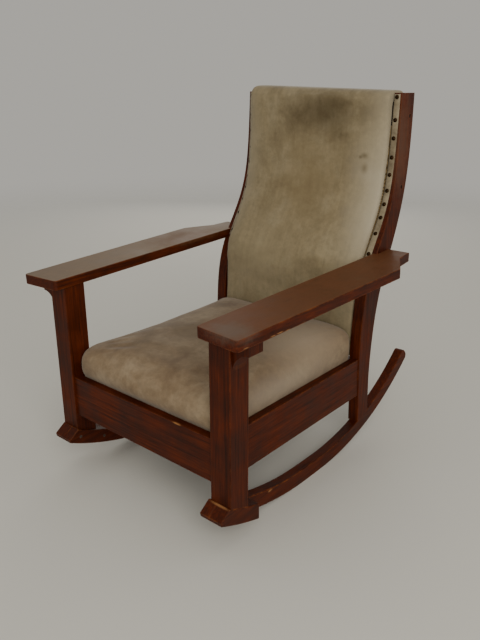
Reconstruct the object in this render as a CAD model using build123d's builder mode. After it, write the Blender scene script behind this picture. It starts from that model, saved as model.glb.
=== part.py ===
from build123d import *

import math
import os

# Upholstered rocking chair. Millimetres, +Z up, floor at z = 0.
# The sitter faces -Y, so the sitter's left hand is on the +X side.

# Front posts
front_y = -418.5
post_out = 300.0
post_wide = 58.0
post_deep = 60.0
post_in = post_out - post_wide

# Rockers: two arcs with a short worn flat between them, on which the chair rests
rock_flat = (345.0, 408.0)
rock_toe = (-30.0, 87.0)
rock_tail = (874.0, 178.0)
rock_r_front = ((rock_flat[0] - rock_toe[0]) ** 2 + rock_toe[1] ** 2) / (2 * rock_toe[1])
rock_r_rear = ((rock_tail[0] - rock_flat[1]) ** 2 + rock_tail[1] ** 2) / (2 * rock_tail[1])
rock_deep = 39.0
rock_in = 236.0
rock_out = 263.0
toe_reach = 31.0
toe_nose = 8.0
toe_top = -2.0
toe_sole = -29.0
tail_reach = 881.0
tail_round = 14.0
cheek_reach = 100.0
cheek_screw_places = (4.0, 80.0)
cheek_screw_length = 50.0
rocker_dowel_places = (30.0, 621.0)
rocker_dowel_up = 10.0
rocker_dowel_length = 75.0

# Rear posts: sawn S-curves, each edge eased from a lower to an upper place
rear_in = 232.0
rear_out = 264.0
rear_top_out = 253.5
rear_top_z = 959.0
taper_z = 570.0
rear_foot = (596.0, 648.0)
front_edge = dict(low=580.0, rise=149.0, middle=582.0, ease=61.0, kick_z=265.0, kick=0.085)
back_edge = dict(low=639.0, rise=163.0, middle=563.0, ease=88.0, kick_z=215.0, kick=0.07)
edge_step = 55.0

# Arms: flat boards that rise a little towards the back
arm_z = 534.0
arm_slope = 0.031
arm_thick = 25.0
arm_inner = (236.0, 0.024)
arm_outer = (353.5, 0.042)
arm_front_in = -29.0
arm_front_out = -39.0
arm_cut_start = 554.0
arm_tongue_x = 331.0
arm_tongue_start = 640.0
arm_tongue_end = 703.0
arm_tongue_end_x = 325.0
arm_corner = 9.0
arm_eased = (2.5, 1.5)
arm_dowel_set = 16.0
arm_dowel_sunk = 24.0
arm_dowel_length = 40.0
arm_screw_places = (664.0, 686.0)
arm_screw_length = 66.0

# Corbels under the arms
corbel_out = 342.0
corbel_low = 440.0
corbel_cove = 42.0
corbel_front = 8.0
corbel_deep = 44.0
corbel_eased = 1.0
corbel_dowel_set = 10.0
corbel_dowel_up = 12.0
corbel_dowel_sunk = 22.0
corbel_dowel_length = 42.0
corbel_dowel_radius = 3.0

# Seat rails and their tenons
rail_thick = 22.0
rail_eased = 1.5
rail_top = 265.0
front_rail_low = 156.0
side_rail_low = 152.0
front_rail_set = 6.0
side_rail_out = 261.0
rear_rail_front = 607.0
rear_rail_top = 246.0
tenon_thick = 12.0
tenon_shoulder = 12.0
front_tenon = 30.0
side_tenon_rear = 20.0
rear_tenon = 16.0

# Back rails, tied to the rear posts by screws under plugs, the lowest by tenons
top_rail = dict(front=771.0, deep=24.0, low=884.0, high=944.0, screw_y=780.0, screw_z=901.0)
middle_rail = dict(front=746.0, deep=20.0, low=700.0, high=736.0, screw_y=755.0, screw_z=718.0)
bottom_rail = dict(front=614.0, deep=20.0, low=302.0, high=348.0)
plug_radius = 5.0
plug_deep = 7.0
plug_sunk = 1.0
back_screw_length = 60.0

# Fastener stock
screw_radius = 2.2
screw_head = 4.4
screw_head_deep = 3.0
dowel_radius = 5.0
nail_head = 5.6
nail_dome = 6.6
nail_shank = 1.0
nail_length = 12.0
nail_into_head = 0.5
nail_clear = 0.15

# Cleats and corner blocks inside the rails
cleat = 20.0
seat_rest = 232.0
block_leg = 85.0
block_low = 165.0
block_high = 200.0
block_notch = (586.0, 582.0)
block_screw_share = 0.62
block_screw_offset = 7.0
block_screw_length = 46.0
cleat_half = 180.0
cleat_clear = 30.0
cleat_screw_x = 140.0
cleat_screw_set = 40.0
cleat_screw_length = 34.0

# Drop-in seat
frame_half = 236.0
frame_front = 31.0
frame_rear = 575.0
frame_bar = 45.0
frame_thick = 24.0
strap_wide = 50.0
strap_thick = 0.8
strap_half = 214.0
strap_span = (54.0, 552.0)
strap_places = (-1.5, -0.5, 0.5, 1.5)
strap_pitch = 96.0
tack_set = 8.0
tack_head = (3.5, 0.6)
tack_shank = (0.9, 11.0)
dust_cloth_thick = 0.8
spring_radius = 40.0
spring_wire = 1.7
spring_turns = 4
spring_pitch = 19.0
spring_grid = (116.0, 132.0)
spring_gap = 0.4
burlap_thick = 1.5
burlap_gap = 0.8
burlap_margin = 1.0
stuffing_gap = 0.3
hide = 2.0
skin_gap = 0.2
skirt_wide = 2.0
skirt_low = 1.0
skirt_tall = 30.0

# Back upholstery
back_hollow = (22.0, 5.0)
back_strap_heights = (380.0, 460.0, 540.0, 620.0, 780.0, 838.0)
pad_half = 231.5
pad_sunk = 3.0
pad_swell = 27.0
pad_swell_low = 390.0
pad_swell_high = 560.0
pad_crown = 9.0
pad_crown_least = 0.3
pad_corner = 0.45
pad_rear_gap = 1.0
roll_corner = 0.3
roll_rear_share = 0.6
roll_side_share = 0.5
back_burlap_gap = 0.6
back_burlap_lap = (40.0, 6.0)
strap_clear = 0.5
pad_heights = (262.0, 320.0, 380.0, 430.0, 480.0, 530.0, 580.0, 630.0, 690.0, 760.0, 840.0, 900.0, 947.0)
pad_roll = ((947.0, 0.0), (957.0, 2.0), (965.0, 9.0), (970.0, 20.0), (973.0, 36.0))
sheet_gap = 0.2
border_in = 232.5
border_out = 249.5
border_low = 536.0
border_high = 956.0
border_nail_heights = (949, 892, 846, 797, 752, 711, 676, 642, 602, 552)
panel_half = 247.0
panel_low = 300.0
panel_high = 950.0
panel_thick = 1.2
outside_nail_count = 12
outside_nail_set = 14.0
outside_nail_in = 7.5

# Edges that hands and use have eased
eased = 2.0

# Room left over where one piece is cut to another
spare = 20.0
through = 1000.0
long_edge = 100.0

MIN = Align.MIN
MID = Align.CENTER


def back(distance):
    """y of a place so far behind the front faces of the front posts."""
    return front_y + distance


def rock_line(distance, depth):
    """Height of the rocker's curve, a given depth above its sole."""
    radius = rock_r_front if distance < rock_flat[0] else rock_r_rear
    beyond = max(rock_flat[0] - distance, 0.0, distance - rock_flat[1])
    return radius - math.sqrt((radius - depth) ** 2 - beyond ** 2)


def post_edge(edge, z):
    """Distance of a rear post's sawn edge behind the front posts, at a height."""
    eased_in = edge["rise"] / (1 + math.exp((edge["middle"] - z) / edge["ease"]))
    return edge["low"] + eased_in + edge["kick"] * max(0.0, edge["kick_z"] - z)


def post_slope(edge, z):
    """How fast that edge runs back as it climbs."""
    return (post_edge(edge, z + 1) - post_edge(edge, z - 1)) / 2


def arm_top(distance):
    """Height of the arm's upper face."""
    return arm_z + arm_slope * distance


def edge_points(edge, low, high, shift=0.0, follow=None):
    """Points up a sawn edge, in the side view, or up a line that keeps a changing distance from it."""
    count = max(2, round((high - low) / edge_step))
    heights = [low + (high - low) * i / count for i in range(count + 1)]
    return [(back(post_edge(edge, z) + shift + (follow(z) if follow else 0.0)), z) for z in heights]


def rock_arc(start, end, depth):
    """Arc of the rocker between two distances, in the side view."""
    middle = (start + end) / 2
    ends = [(back(d), rock_line(d, depth)) for d in (start, middle, end)]
    return ThreePointArc(*ends)


def pad_swelled(z):
    """Share, from 0 to 1, of the stuffed back's swell at a height."""
    share = min(1.0, max(0.0, (z - pad_swell_low) / (pad_swell_high - pad_swell_low)))
    return share * share * (3 - 2 * share)


def hollow(z):
    """Depth of the back's webbing behind the posts' front edges, less where the back swells."""
    return back_hollow[0] + (back_hollow[1] - back_hollow[0]) * pad_swelled(z)


def curved_sheet(plane, edge, low, high, near, far, follow=None):
    """Side view of a sheet bent to a sawn edge, between two distances behind it."""
    with BuildSketch(plane) as view:
        with BuildLine():
            near_points = edge_points(edge, low, high, near, follow)
            far_points = edge_points(edge, low, high, far, follow)
            Spline(*near_points)
            Line(near_points[-1], far_points[-1])
            Spline(*reversed(far_points))
            Line(far_points[0], near_points[0])
        make_face()
    return view.sketch.face()


def block(x, y, z, mode=Mode.ADD):
    """Squared timber between pairs of limits, with y behind the front posts."""
    size = (x[1] - x[0], y[1] - y[0], z[1] - z[0])
    with Locations(((x[0] + x[1]) / 2, back((y[0] + y[1]) / 2), (z[0] + z[1]) / 2)):
        Box(*size, mode=mode)


def screw(at, toward, length):
    """Countersunk wood screw, its head's face at a point."""
    with Locations(Plane(origin=at, z_dir=toward)):
        Cone(screw_head, screw_radius, screw_head_deep, align=(MID, MID, MIN))
        with Locations((0, 0, screw_head_deep)):
            Cylinder(screw_radius, length - screw_head_deep, align=(MID, MID, MIN))


def dowel(at, toward, length, radius=dowel_radius):
    """Round wooden peg, one end at a point."""
    with Locations(Plane(origin=at, z_dir=toward)):
        Cylinder(radius, length, align=(MID, MID, MIN))


def nail(at, outward):
    """Domed upholstery nail, its head's underside at a point."""
    rim = math.degrees(math.acos(nail_head / nail_dome))
    with Locations(Plane(origin=at, z_dir=outward)):
        Sphere(nail_dome, arc_size1=rim, align=(MID, MID, MIN))
        with Locations((0, 0, nail_into_head)):
            Cylinder(nail_shank, nail_length, align=(MID, MID, Align.MAX))


def cut_by(*mates):
    """Takes the room of other pieces out of the piece being made."""
    for mate in mates:
        add(mate.part, mode=Mode.SUBTRACT)


def save(piece, name):
    piece.part.label = name
    export_step(piece.part, f"parts/{name}.step")


def save_pair(piece, name):
    """Writes a left-hand piece and its mirrored twin."""
    save(piece, name + "_left")
    with BuildPart() as twin:
        mirror(piece.part, about=Plane.YZ)
    save(twin, name + "_right")


os.makedirs("parts", exist_ok=True)
arm_tilt = Plane(origin=(0, front_y, arm_z), x_dir=(1, 0, 0), z_dir=(0, -arm_slope, 1))

# Dowels of the rockers, one up into each post
rock_mid = (rock_in + rock_out) / 2
with BuildPart() as rocker_dowels:
    for distance in rocker_dowel_places:
        foot_z = rock_line(distance, rocker_dowel_up)
        dowel((rock_mid, back(distance), foot_z), (0, 0, 1), rocker_dowel_length)
    mirror(about=Plane.YZ)
save(rocker_dowels, "rocker_dowels")

# Screws from the rocker's inner face out into the cheek block
with BuildPart() as cheek_screws:
    for distance in cheek_screw_places:
        at = (rock_in, back(distance), rock_line(distance, rock_deep / 2))
        screw(at, (1, 0, 0), cheek_screw_length)
    mirror(about=Plane.YZ)
save(cheek_screws, "cheek_screws")


def toe_outline():
    """Sloped front end of a rocker, from its upper curve down to its sole."""
    top = (back(toe_top), rock_line(toe_top, rock_deep))
    nose = (back(-toe_reach), rock_line(-toe_reach, 0.0) + toe_nose)
    sole = (back(toe_sole), rock_line(toe_sole, 0.0))
    Polyline(top, nose, sole)


# Rockers: thin runners, cut square at the tail and rounded over
with BuildPart() as rocker:
    with BuildSketch(Plane.YZ.offset(rock_in)) as runner:
        with BuildLine():
            toe_outline()
            rock_arc(toe_sole, rock_flat[0], 0.0)
            Line((back(rock_flat[0]), 0.0), (back(rock_flat[1]), 0.0))
            rock_arc(rock_flat[1], tail_reach, 0.0)
            lean = (tail_reach - rock_flat[1]) / rock_r_rear
            tail_top = tail_reach - rock_deep * lean
            tail_foot = (back(tail_reach), rock_line(tail_reach, 0.0))
            Line(tail_foot, (back(tail_top), rock_line(tail_top, rock_deep)))
            rock_arc(tail_top, rock_flat[1], rock_deep)
            Line((back(rock_flat[1]), rock_deep), (back(rock_flat[0]), rock_deep))
            rock_arc(rock_flat[0], toe_top, rock_deep)
        make_face()
        fillet(runner.vertices().sort_by(Axis.X)[-2:], tail_round)
    extrude(amount=rock_out - rock_in)
    faces_across = rocker.faces().filter_by(Axis.X)
    fillet(faces_across.sort_by(Axis.X)[-1].edges(), eased)
    fillet(rocker.faces().filter_by(Axis.X).sort_by(Axis.X)[0].edges(), eased)
    cut_by(rocker_dowels, cheek_screws)
save_pair(rocker, "rocker")

# Cheek blocks: they widen the rocker's front end to the post's full width
with BuildPart() as rocker_cheek:
    with BuildSketch(Plane.YZ.offset(rock_out)):
        with BuildLine():
            toe_outline()
            rock_arc(toe_sole, cheek_reach, 0.0)
            cheek_end = (back(cheek_reach), rock_line(cheek_reach, rock_deep))
            Line((back(cheek_reach), rock_line(cheek_reach, 0.0)), cheek_end)
            rock_arc(cheek_reach, toe_top, rock_deep)
        make_face()
    extrude(amount=post_out - rock_out)
    outer_face = rocker_cheek.faces().filter_by(Axis.X).sort_by(Axis.X)[-1]
    fillet(outer_face.edges(), eased)
    cut_by(cheek_screws)
save_pair(rocker_cheek, "rocker_cheek")

# Dowels between the front posts and the arms, and between posts and corbels
with BuildPart() as arm_dowels:
    for x in (post_in + arm_dowel_set, post_out - arm_dowel_set):
        dowel((x, back(post_deep / 2), arm_z - arm_thick - arm_dowel_sunk), (0, 0, 1), arm_dowel_length)
    mirror(about=Plane.YZ)
save(arm_dowels, "arm_dowels")

with BuildPart() as corbel_dowels:
    for distance in (corbel_dowel_set, corbel_deep - corbel_dowel_set):
        dowel_z = corbel_low + corbel_cove + corbel_dowel_up
        at = (post_out - corbel_dowel_sunk, back(corbel_front + distance), dowel_z)
        dowel(at, (1, 0, 0), corbel_dowel_length, corbel_dowel_radius)
    mirror(about=Plane.YZ)
save(corbel_dowels, "corbel_dowels")

# Rear post blank, before its mortises are cut
with BuildPart() as rear_blank:
    with BuildSketch(Plane.YZ.offset(rear_in)):
        with BuildLine():
            heel = [rock_line(d, rock_deep) for d in rear_foot]
            front_points = edge_points(front_edge, heel[0], rear_top_z)
            back_points = edge_points(back_edge, heel[1], rear_top_z)
            front_points[0] = (back(rear_foot[0]), heel[0])
            back_points[0] = (back(rear_foot[1]), heel[1])
            Spline(*front_points)
            Line(front_points[-1], back_points[-1])
            Spline(*reversed(back_points))
            rock_arc(rear_foot[1], rear_foot[0], rock_deep)
        make_face()
    extrude(amount=rear_out - rear_in)
    with BuildSketch(Plane.XZ):
        with BuildLine():
            beyond = (rear_out + spare, rear_top_z + spare)
            Polyline((rear_out, taper_z), (rear_top_out, rear_top_z), (rear_top_out, beyond[1]),
                     beyond, (beyond[0], taper_z), (rear_out, taper_z))
        make_face()
    extrude(amount=through, both=True, mode=Mode.SUBTRACT)

# Front rail with a tenon at each end
with BuildPart() as front_rail:
    rail_back = front_rail_set + rail_thick
    block((-post_in, post_in), (front_rail_set, rail_back), (front_rail_low, rail_top))
    fillet(front_rail.edges().filter_by(Axis.X), rail_eased)
    tenon_y = front_rail_set + (rail_thick - tenon_thick) / 2
    tenon_z = (front_rail_low + tenon_shoulder, rail_top - tenon_shoulder)
    tenon_x = post_in + front_tenon
    block((-tenon_x, tenon_x), (tenon_y, tenon_y + tenon_thick), tenon_z)

# Side rails, scribed to the front face of the rear posts
side_rail_in = side_rail_out - rail_thick
tenon_in = side_rail_in + (rail_thick - tenon_thick) / 2
side_seat = post_edge(front_edge, rail_top)
with BuildPart() as side_rail:
    block((side_rail_in, side_rail_out), (post_deep, side_seat + spare), (side_rail_low, rail_top))
    fillet(side_rail.edges().filter_by(Axis.Y), rail_eased)
    cut_by(rear_blank)
    keep_front = side_rail.solids().sort_by(Axis.Y)[0]
    add(keep_front, mode=Mode.REPLACE)
    tenon_z = (side_rail_low + tenon_shoulder, rail_top - tenon_shoulder)
    tenon_span = (post_deep - front_tenon, side_seat + side_tenon_rear)
    block((tenon_in, tenon_in + tenon_thick), tenon_span, tenon_z)

# Rear rail, tenoned into the rear posts' inner faces
with BuildPart() as rear_rail:
    rail_back = rear_rail_front + rail_thick
    block((-rear_in, rear_in), (rear_rail_front, rail_back), (side_rail_low, rear_rail_top))
    tenon_y = rear_rail_front + (rail_thick - tenon_thick) / 2
    tenon_z = (side_rail_low + tenon_shoulder, rear_rail_top - tenon_shoulder)
    tenon_x = rear_in + rear_tenon
    block((-tenon_x, tenon_x), (tenon_y, tenon_y + tenon_thick), tenon_z)

# Back rails
back_rails = {}
for name, rail in (("back_top_rail", top_rail), ("back_middle_rail", middle_rail)):
    with BuildPart() as back_rail:
        span = (rail["front"], rail["front"] + rail["deep"])
        block((-rear_in, rear_in), span, (rail["low"], rail["high"]))
    back_rails[name] = back_rail


def face_x(z):
    """Outer face of a rear post, which leans in above the arm."""
    share = max(0.0, (z - taper_z) / (rear_top_z - taper_z))
    return rear_out + (rear_top_out - rear_out) * share


with BuildPart() as back_rail_screws:
    for rail in (top_rail, middle_rail):
        head_x = face_x(rail["screw_z"]) - plug_deep - plug_sunk
        screw((head_x, back(rail["screw_y"]), rail["screw_z"]), (-1, 0, 0), back_screw_length)
    mirror(about=Plane.YZ)
save(back_rail_screws, "back_rail_screws")

# Plugs over those screws, a little below the surface, turned to the post's width
with BuildPart() as post_plugs:
    for rail in (top_rail, middle_rail):
        inner_x = face_x(rail["screw_z"]) - plug_deep - plug_sunk
        dowel((inner_x, back(rail["screw_y"]), rail["screw_z"]), (1, 0, 0), plug_deep, plug_radius)
    mirror(about=Plane.YZ)
save(post_plugs, "post_plugs")

with BuildPart() as back_bottom_rail:
    span = (bottom_rail["front"], bottom_rail["front"] + bottom_rail["deep"])
    block((-rear_in, rear_in), span, (bottom_rail["low"], bottom_rail["high"]))
    tenon_y = bottom_rail["front"] + (bottom_rail["deep"] - tenon_thick) / 2
    tenon_z = (bottom_rail["low"] + tenon_shoulder, bottom_rail["high"] - tenon_shoulder)
    tenon_x = rear_in + rear_tenon
    block((-tenon_x, tenon_x), (tenon_y, tenon_y + tenon_thick), tenon_z)
save(back_bottom_rail, "back_bottom_rail")

for name, rail in back_rails.items():
    with BuildPart() as bored_rail:
        add(rail.part)
        cut_by(back_rail_screws)
    save(bored_rail, name)

# Screws from inside the rear posts out into the arms' tongues
with BuildPart() as arm_screws:
    for distance in arm_screw_places:
        at = (rear_in, back(distance), arm_top(distance) - arm_thick / 2)
        screw(at, (1, 0, 0), arm_screw_length)
    mirror(about=Plane.YZ)
save(arm_screws, "arm_screws")

# Domed nails down the leather borders of the rear posts, square to the sawn curve
with BuildPart() as border_nails:
    border_mid = (border_in + border_out) / 2
    for z in border_nail_heights:
        rise = post_slope(front_edge, z)
        proud = hide * math.sqrt(1 + rise ** 2) + sheet_gap + nail_clear
        at = (border_mid, back(post_edge(front_edge, z) - proud), z)
        nail(at, (0, -1, rise))
save_pair(border_nails, "border_nails")

# The borders themselves, strips laid up the front of the posts
with BuildPart() as back_border:
    border_plane = Plane.YZ.offset(border_in)
    strip = curved_sheet(border_plane, front_edge, border_low, border_high, -sheet_gap - hide, -sheet_gap)
    extrude(strip, amount=border_out - border_in)
    cut_by(border_nails)
save_pair(back_border, "back_border")

# Nails down both edges of the outside panel
with BuildPart() as outside_nails:
    for i in range(outside_nail_count):
        nail_run = panel_high - panel_low - 2 * outside_nail_set
        z = panel_low + outside_nail_set + nail_run * i / (outside_nail_count - 1)
        rise = post_slope(back_edge, z)
        proud = panel_thick * math.sqrt(1 + rise ** 2) + sheet_gap + nail_clear
        nail((panel_half - outside_nail_in, back(post_edge(back_edge, z) + proud), z), (0, 1, -rise))
    mirror(about=Plane.YZ)
save(outside_nails, "outside_nails")

# Outside panel of the back, a leather sheet on the posts' rear edges
with BuildPart() as outside_panel:
    sheet = curved_sheet(Plane.YZ, back_edge, panel_low, panel_high, sheet_gap, sheet_gap + panel_thick)
    extrude(sheet, amount=panel_half, both=True)
    cut_by(outside_nails)
save(outside_panel, "outside_panel")

# Rear posts, cut for rails, screws, plugs and nails
with BuildPart() as rear_post:
    add(rear_blank.part)
    sawn_edges = [edge for edge in rear_post.edges() if edge.length > long_edge]
    fillet(sawn_edges, eased)
    cut_by(side_rail, rear_rail, back_bottom_rail, back_rail_screws, post_plugs)
    cut_by(arm_screws, rocker_dowels, border_nails, outside_nails)
    for rail in (top_rail, middle_rail):
        at = (face_x(rail["screw_z"]) - 2 * plug_sunk, back(rail["screw_y"]), rail["screw_z"])
        with Locations(Plane(origin=at, z_dir=(1, 0, 0))):
            Cylinder(plug_radius, spare, align=(MID, MID, MIN), mode=Mode.SUBTRACT)
save_pair(rear_post, "rear_post")

# Front posts, square in plan, scribed to the rocker below and the arm above
with BuildPart() as front_post:
    with BuildSketch(Plane.YZ.offset(post_in)):
        with BuildLine():
            rock_arc(0.0, post_deep, rock_deep)
            Polyline((back(post_deep), rock_line(post_deep, rock_deep)), (back(post_deep), arm_z),
                     (back(0.0), arm_z), (back(0.0), rock_line(0.0, rock_deep)))
        make_face()
    extrude(amount=post_wide)
    split(bisect_by=arm_tilt.offset(-arm_thick), keep=Keep.BOTTOM)
    fillet(front_post.edges().filter_by(Axis.Z), eased)
    cut_by(front_rail, side_rail, rocker_dowels, arm_dowels, corbel_dowels)
save_pair(front_post, "front_post")

# Corbels, coved brackets outside the front posts
with BuildPart() as corbel:
    with BuildSketch(Plane.XZ.offset(-back(corbel_front))):
        with BuildLine():
            cove = corbel_cove * (1 - math.sqrt(0.5))
            low = (post_out, corbel_low)
            middle = (post_out + cove, corbel_low + corbel_cove - cove)
            tip = (corbel_out, corbel_low + corbel_cove)
            ThreePointArc(low, middle, tip)
            Polyline(tip, (corbel_out, arm_z), (post_out, arm_z), low)
        make_face()
    extrude(amount=-corbel_deep)
    fillet(corbel.edges().filter_by(GeomType.CIRCLE), corbel_eased)
    split(bisect_by=arm_tilt.offset(-arm_thick), keep=Keep.BOTTOM)
    cut_by(corbel_dowels)
save_pair(corbel, "corbel")

# Arms: boards with rounded front corners, notched for the rear posts
with BuildPart() as arm:
    with BuildSketch(arm_tilt) as board:
        inner_front = arm_inner[0] + arm_inner[1] * arm_front_in
        outer_front = arm_outer[0] + arm_outer[1] * arm_front_out
        inner_back = arm_inner[0] + arm_inner[1] * arm_tongue_end
        outer_back = arm_outer[0] + arm_outer[1] * arm_cut_start
        with BuildLine():
            Polyline((inner_front, arm_front_in), (outer_front, arm_front_out),
                     (outer_back, arm_cut_start), (arm_tongue_x, arm_tongue_start),
                     (arm_tongue_end_x, arm_tongue_end), (inner_back, arm_tongue_end),
                     close=True)
        make_face()
        fillet(board.vertices().sort_by(Axis.Y)[:2], arm_corner)
    extrude(amount=-arm_thick)
    fillet(arm.faces().sort_by(Axis.Z)[-1].edges(), arm_eased[0])
    fillet(arm.faces().sort_by(Axis.Z)[0].edges(), arm_eased[1])
    cut_by(rear_blank, arm_dowels, arm_screws)
save_pair(arm, "arm")

# Cleats inside the rails, which carry the drop-in seat
cleat_z = (seat_rest - cleat, seat_rest)
rail_inner = front_rail_set + rail_thick
side_clear = (post_deep + cleat_clear, frame_rear - cleat_clear)
with BuildPart() as cleat_screws:
    for x in (-cleat_screw_x, 0.0, cleat_screw_x):
        screw((x, back(rail_inner + cleat), seat_rest - cleat / 2), (0, -1, 0), cleat_screw_length)
        screw((x, back(rear_rail_front - cleat), seat_rest - cleat / 2), (0, 1, 0), cleat_screw_length)
    side_ends = (side_clear[0] + cleat_screw_set, side_clear[1] - cleat_screw_set)
    for side in (-1, 1):
        for distance in (side_ends[0], sum(side_clear) / 2, side_ends[1]):
            at = (side * (side_rail_in - cleat), back(distance), seat_rest - cleat / 2)
            screw(at, (side, 0, 0), cleat_screw_length)
save(cleat_screws, "cleat_screws")

cleats = {
    "seat_cleat_front": ((-cleat_half, cleat_half), (rail_inner, rail_inner + cleat)),
    "seat_cleat_rear": ((-cleat_half, cleat_half), (rear_rail_front - cleat, rear_rail_front)),
    "seat_cleat_left": ((side_rail_in - cleat, side_rail_in), side_clear),
    "seat_cleat_right": ((-side_rail_in, cleat - side_rail_in), side_clear),
}
for name, (across, along) in cleats.items():
    with BuildPart() as ledger:
        block(across, along, cleat_z)
        cut_by(cleat_screws)
    save(ledger, name)

# Corner blocks: three-cornered braces, the rear pair notched round the rear posts
front_block = [(post_in, rail_inner), (post_in, post_deep), (side_rail_in, post_deep),
               (side_rail_in, rail_inner + block_leg), (side_rail_in - block_leg, rail_inner)]
rear_block = [(rear_in, rear_rail_front), (rear_in, block_notch[0]), (side_rail_in, block_notch[1]),
              (side_rail_in, rear_rail_front - block_leg), (rear_in - block_leg, rear_rail_front)]
block_mid = (block_low + block_high) / 2
with BuildPart() as corner_block_screws:
    reach = block_leg * block_screw_share
    front_at = (side_rail_in - reach, back(rail_inner + block_leg - reach))
    rear_at = (rear_in - reach, back(rear_rail_front - block_leg + reach))
    low_z, high_z = block_mid - block_screw_offset, block_mid + block_screw_offset
    screw((front_at[0], front_at[1], low_z), (0, -1, 0), block_screw_length)
    screw((rear_at[0], rear_at[1], low_z), (0, 1, 0), block_screw_length)
    side_at = side_rail_in - block_leg + reach
    screw((side_at, back(rail_inner + reach), high_z), (1, 0, 0), block_screw_length)
    screw((side_at, back(rear_rail_front - reach), high_z), (1, 0, 0), block_screw_length)
    mirror(about=Plane.YZ)
save(corner_block_screws, "corner_block_screws")

for name, outline in (("corner_blocks_front", front_block), ("corner_blocks_rear", rear_block)):
    with BuildPart() as braces:
        with BuildSketch(Plane.XY.offset(block_low)):
            with BuildLine():
                Polyline(*[(x, back(y)) for x, y in outline], close=True)
            make_face()
        extrude(amount=block_high - block_low)
        cut_by(rear_blank, corner_block_screws)
        mirror(about=Plane.YZ)
    save(braces, name)

# Rails bored for the cleats' and blocks' screws
with BuildPart() as bored_side:
    add(side_rail.part)
    cut_by(cleat_screws, corner_block_screws)
save_pair(bored_side, "side_rail")
for name, rail in (("front_rail", front_rail), ("rear_rail", rear_rail)):
    with BuildPart() as bored_rail:
        add(rail.part)
        cut_by(cleat_screws, corner_block_screws)
    save(bored_rail, name)

# Frame of the drop-in seat: two full bars and two between them
frame_z = (seat_rest, seat_rest + frame_thick)
side_span = (frame_front + frame_bar, frame_rear - frame_bar)
frame_bars = {
    "seat_frame_front": ((-frame_half, frame_half), (frame_front, side_span[0])),
    "seat_frame_rear": ((-frame_half, frame_half), (side_span[1], frame_rear)),
    "seat_frame_left": ((frame_half - frame_bar, frame_half), side_span),
    "seat_frame_right": ((-frame_half, frame_bar - frame_half), side_span),
}
strap_mid = sum(strap_span) / 2

# Tacks that hold the webbing under the frame
with BuildPart() as webbing_tacks:
    under = seat_rest - 2 * strap_thick
    for step in strap_places:
        across, along = step * strap_pitch, strap_mid + step * strap_pitch
        spots = [(across, strap_span[0] + tack_set), (across, strap_span[1] - tack_set),
                 (tack_set - strap_half, along), (strap_half - tack_set, along)]
        for x, distance in spots:
            with Locations((x, back(distance), under)):
                Cylinder(*tack_head, align=(MID, MID, Align.MAX))
                Cylinder(*tack_shank, align=(MID, MID, MIN))
save(webbing_tacks, "webbing_tacks")

for name, (across, along) in frame_bars.items():
    with BuildPart() as bar:
        block(across, along, frame_z)
        cut_by(webbing_tacks)
    save(bar, name)

# Webbing: straps one way laid over straps the other way
with BuildPart() as seat_webbing:
    for step in strap_places:
        x = step * strap_pitch
        y = strap_mid + step * strap_pitch
        upper = (seat_rest - strap_thick, seat_rest)
        lower = (seat_rest - 2 * strap_thick, seat_rest - strap_thick)
        block((x - strap_wide / 2, x + strap_wide / 2), strap_span, upper)
        block((-strap_half, strap_half), (y - strap_wide / 2, y + strap_wide / 2), lower)
    cut_by(webbing_tacks)
save(seat_webbing, "seat_webbing")

with BuildPart() as seat_dust_cloth:
    cloth_z = seat_rest - 2 * strap_thick - 2 * dust_cloth_thick
    block((-strap_half, strap_half), strap_span, (cloth_z, cloth_z + dust_cloth_thick))
save(seat_dust_cloth, "seat_dust_cloth")

# Coil springs: one wound wire, set out three by three
spring_low = seat_rest + spring_wire + spring_gap
with BuildPart() as spring:
    with BuildLine() as winding:
        Helix(spring_pitch, spring_pitch * spring_turns, spring_radius, center=(0, 0, spring_low))
    with BuildSketch(Plane(origin=winding.line @ 0, z_dir=winding.line % 0)):
        Circle(spring_wire)
    sweep(is_frenet=True)
spring_high = spring_low + spring_pitch * spring_turns + spring_wire
with BuildPart() as seat_springs:
    with Locations((0, back(strap_mid), 0)):
        with GridLocations(spring_grid[0], spring_grid[1], 3, 3):
            add(spring.part)
save(seat_springs, "seat_springs")

# Burlap over the springs
well_half = frame_half - frame_bar
burlap_z = (spring_high + burlap_gap, spring_high + burlap_gap + burlap_thick)
with BuildPart() as seat_burlap:
    burlap_half = well_half - burlap_margin
    burlap_span = (side_span[0] + burlap_margin, side_span[1] - burlap_margin)
    block((-burlap_half, burlap_half), burlap_span, burlap_z)
save(seat_burlap, "seat_burlap")

# Stuffed seat: height, half width, front and rear of its outline, front and rear corner radius
seat_outline = (
    (257.0, 236.0, 30.0, 575.0, 18.0, 14.0),
    (267.0, 238.0, 28.5, 576.5, 20.0, 16.0),
    (272.0, 240.5, 21.0, 577.5, 24.0, 17.0),
    (292.0, 241.5, 16.0, 578.0, 30.0, 18.0),
    (318.0, 241.0, 16.5, 578.0, 34.0, 18.0),
    (332.0, 238.0, 21.0, 577.8, 38.0, 18.0),
    (343.0, 231.0, 31.0, 576.5, 44.0, 20.0),
    (352.0, 219.0, 49.0, 573.0, 52.0, 24.0),
    (359.0, 194.0, 84.0, 564.0, 60.0, 30.0),
    (364.0, 146.0, 140.0, 530.0, 60.0, 40.0),
    (366.5, 80.0, 215.0, 455.0, 60.0, 50.0),
)


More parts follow.
